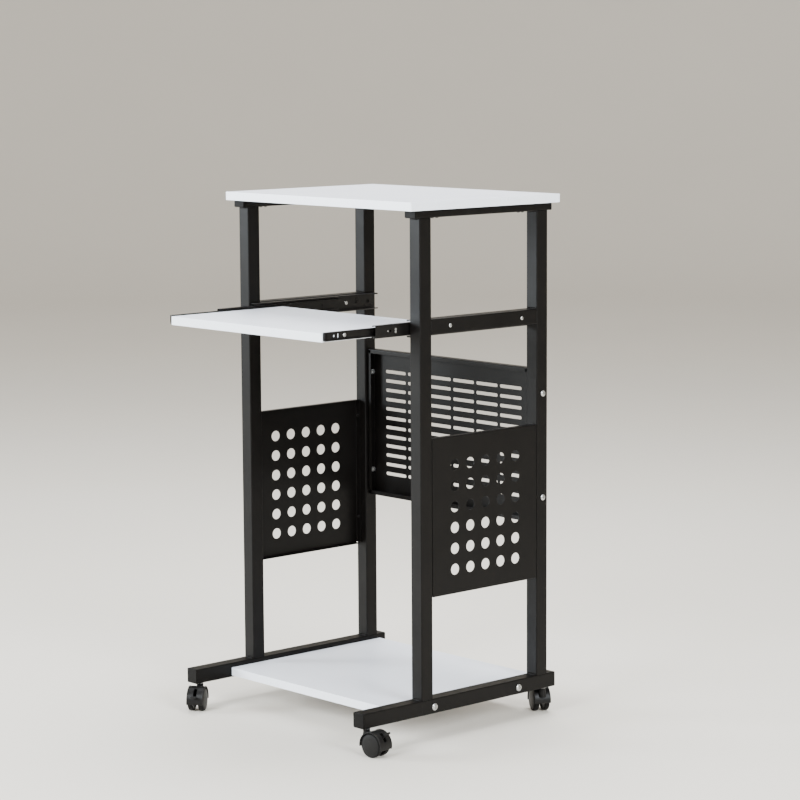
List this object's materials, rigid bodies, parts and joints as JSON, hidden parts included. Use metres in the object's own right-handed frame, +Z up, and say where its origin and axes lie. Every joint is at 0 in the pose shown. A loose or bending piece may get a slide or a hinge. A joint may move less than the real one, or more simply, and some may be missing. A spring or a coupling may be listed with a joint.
{
  "type": "mobile computer and printer trolley",
  "caption": "Castored tube-steel trolley with a white top board, a pull-out tray on telescopic slides, perforated panels and an open lower shelf.",
  "frame": {"origin": "bottom centre of the bounding box, on the floor", "axes": "+X to the right of a user facing the trolley, +Y towards the back, +Z up; the tray pulls out towards -Y"},
  "size_m": [0.5956, 0.5996, 1.059],
  "materials": {
    "steel_black": "satin black powder coat, fine orange peel",
    "melamine_white": "white melamine-faced board with white edge band",
    "slide_black": "black electrophoretic coat, semi-gloss",
    "cap_black": "moulded black plastic",
    "castor_black": "moulded black nylon",
    "zinc": "bright zinc plate"
  },
  "bodies": {
    "frame": {"back_panel": "steel_black", "bottom_shelf": "melamine_white", "castor_front_left_stem": "zinc", "castor_front_right_stem": "zinc", "castor_rear_left_stem": "zinc", "castor_rear_right_stem": "zinc", "end_cap_foot_front_left": "cap_black", "end_cap_foot_front_right": "cap_black", "end_cap_foot_rear_left": "cap_black", "end_cap_foot_rear_right": "cap_black", "end_cap_top_front_left": "cap_black", "end_cap_top_front_right": "cap_black", "end_cap_top_rear_left": "cap_black", "end_cap_top_rear_right": "cap_black", "foot_rail_left": "steel_black", "foot_rail_right": "steel_black", "middle_rail_left": "steel_black", "middle_rail_right": "steel_black", "panel_bolt_lower_left": "zinc", "panel_bolt_lower_right": "zinc", "panel_bolt_upper_left": "zinc", "panel_bolt_upper_right": "zinc", "post_front_left": "steel_black", "post_front_right": "steel_black", "post_rear_left": "steel_black", "post_rear_right": "steel_black", "shelf_bolt_front_left": "zinc", "shelf_bolt_front_right": "zinc", "shelf_bolt_rear_left": "zinc", "shelf_bolt_rear_right": "zinc", "side_panel_left": "steel_black", "side_panel_right": "steel_black", "slide_outer_left": "slide_black", "slide_outer_right": "slide_black", "top_board": "melamine_white", "top_rail_left": "steel_black", "top_rail_right": "steel_black"},
    "castor_front_left_swivel": {"castor_front_left_axle": "zinc", "castor_front_left_hood": "castor_black"},
    "castor_front_left_brake": {"castor_front_left_brake": "castor_black"},
    "castor_front_left_wheel_a": {"castor_front_left_wheel_a": "castor_black"},
    "castor_front_left_wheel_b": {"castor_front_left_wheel_b": "castor_black"},
    "castor_front_right_swivel": {"castor_front_right_axle": "zinc", "castor_front_right_hood": "castor_black"},
    "castor_front_right_brake": {"castor_front_right_brake": "castor_black"},
    "castor_front_right_wheel_a": {"castor_front_right_wheel_a": "castor_black"},
    "castor_front_right_wheel_b": {"castor_front_right_wheel_b": "castor_black"},
    "castor_rear_left_swivel": {"castor_rear_left_axle": "zinc", "castor_rear_left_hood": "castor_black"},
    "castor_rear_left_wheel_a": {"castor_rear_left_wheel_a": "castor_black"},
    "castor_rear_left_wheel_b": {"castor_rear_left_wheel_b": "castor_black"},
    "castor_rear_right_swivel": {"castor_rear_right_axle": "zinc", "castor_rear_right_hood": "castor_black"},
    "castor_rear_right_wheel_a": {"castor_rear_right_wheel_a": "castor_black"},
    "castor_rear_right_wheel_b": {"castor_rear_right_wheel_b": "castor_black"},
    "tray": {"slide_inner_left": "slide_black", "slide_inner_right": "slide_black", "tray_board": "melamine_white"},
    "slide_middle_left": {"slide_middle_left": "slide_black"},
    "slide_middle_right": {"slide_middle_right": "slide_black"}
  },
  "joints": [
    {"name": "tray_slide", "type": "slide", "parent": "frame", "child": "tray", "axis": [0, 1, 0], "range_m": [-0.1, 0.212]},
    {"name": "slide_middle_left_travel", "type": "slide", "parent": "frame", "child": "slide_middle_left", "axis": [0, 1, 0], "range_m": [-0.05, 0.106]},
    {"name": "slide_middle_right_travel", "type": "slide", "parent": "frame", "child": "slide_middle_right", "axis": [0, 1, 0], "range_m": [-0.05, 0.106]},
    {"name": "castor_front_left_turn", "type": "hinge", "parent": "frame", "child": "castor_front_left_swivel", "pos_m": [-0.2758, -0.21942, 0.045], "axis": [0, 0, 1], "continuous": true},
    {"name": "castor_front_left_wheel_a_spin", "type": "hinge", "parent": "castor_front_left_swivel", "child": "castor_front_left_wheel_a", "pos_m": [-0.26173, -0.23762, 0.0235], "axis": [0.7912, 0.6115, 0], "continuous": true},
    {"name": "castor_front_left_wheel_b_spin", "type": "hinge", "parent": "castor_front_left_swivel", "child": "castor_front_left_wheel_b", "pos_m": [-0.26173, -0.23762, 0.0235], "axis": [0.7912, 0.6115, 0], "continuous": true},
    {"name": "castor_front_left_brake_lever", "type": "hinge", "parent": "castor_front_left_swivel", "child": "castor_front_left_brake", "pos_m": [-0.25745, -0.24316, 0.0305], "axis": [0.7912, 0.6115, 0], "range_deg": [-32, 0]},
    {"name": "castor_front_right_turn", "type": "hinge", "parent": "frame", "child": "castor_front_right_swivel", "pos_m": [0.24121, -0.21942, 0.045], "axis": [0, 0, 1], "continuous": true},
    {"name": "castor_front_right_wheel_a_spin", "type": "hinge", "parent": "castor_front_right_swivel", "child": "castor_front_right_wheel_a", "pos_m": [0.26403, -0.21662, 0.0235], "axis": [-0.1219, 0.9925, 0], "continuous": true},
    {"name": "castor_front_right_wheel_b_spin", "type": "hinge", "parent": "castor_front_right_swivel", "child": "castor_front_right_wheel_b", "pos_m": [0.26403, -0.21662, 0.0235], "axis": [-0.1219, 0.9925, 0], "continuous": true},
    {"name": "castor_front_right_brake_lever", "type": "hinge", "parent": "castor_front_right_swivel", "child": "castor_front_right_brake", "pos_m": [0.27098, -0.21577, 0.0305], "axis": [-0.1219, 0.9925, 0], "range_deg": [0, 32]},
    {"name": "castor_rear_left_turn", "type": "hinge", "parent": "frame", "child": "castor_rear_left_swivel", "pos_m": [-0.2758, 0.26098, 0.045], "axis": [0, 0, 1], "continuous": true},
    {"name": "castor_rear_left_wheel_a_spin", "type": "hinge", "parent": "castor_rear_left_swivel", "child": "castor_rear_left_wheel_a", "pos_m": [-0.25478, 0.27033, 0.0235], "axis": [-0.4067, 0.9135, 0], "continuous": true},
    {"name": "castor_rear_left_wheel_b_spin", "type": "hinge", "parent": "castor_rear_left_swivel", "child": "castor_rear_left_wheel_b", "pos_m": [-0.25478, 0.27033, 0.0235], "axis": [-0.4067, 0.9135, 0], "continuous": true},
    {"name": "castor_rear_right_turn", "type": "hinge", "parent": "frame", "child": "castor_rear_right_swivel", "pos_m": [0.24121, 0.26098, 0.045], "axis": [0, 0, 1], "continuous": true},
    {"name": "castor_rear_right_wheel_a_spin", "type": "hinge", "parent": "castor_rear_right_swivel", "child": "castor_rear_right_wheel_a", "pos_m": [0.22095, 0.27188, 0.0235], "axis": [-0.4741, -0.8805, 0], "continuous": true},
    {"name": "castor_rear_right_wheel_b_spin", "type": "hinge", "parent": "castor_rear_right_swivel", "child": "castor_rear_right_wheel_b", "pos_m": [0.22095, 0.27188, 0.0235], "axis": [-0.4741, -0.8805, 0], "continuous": true}
  ],
  "couplings": [
    {"joint": "slide_middle_left_travel", "follows": "tray_slide", "ratio": 0.5},
    {"joint": "slide_middle_right_travel", "follows": "tray_slide", "ratio": 0.5}
  ]
}
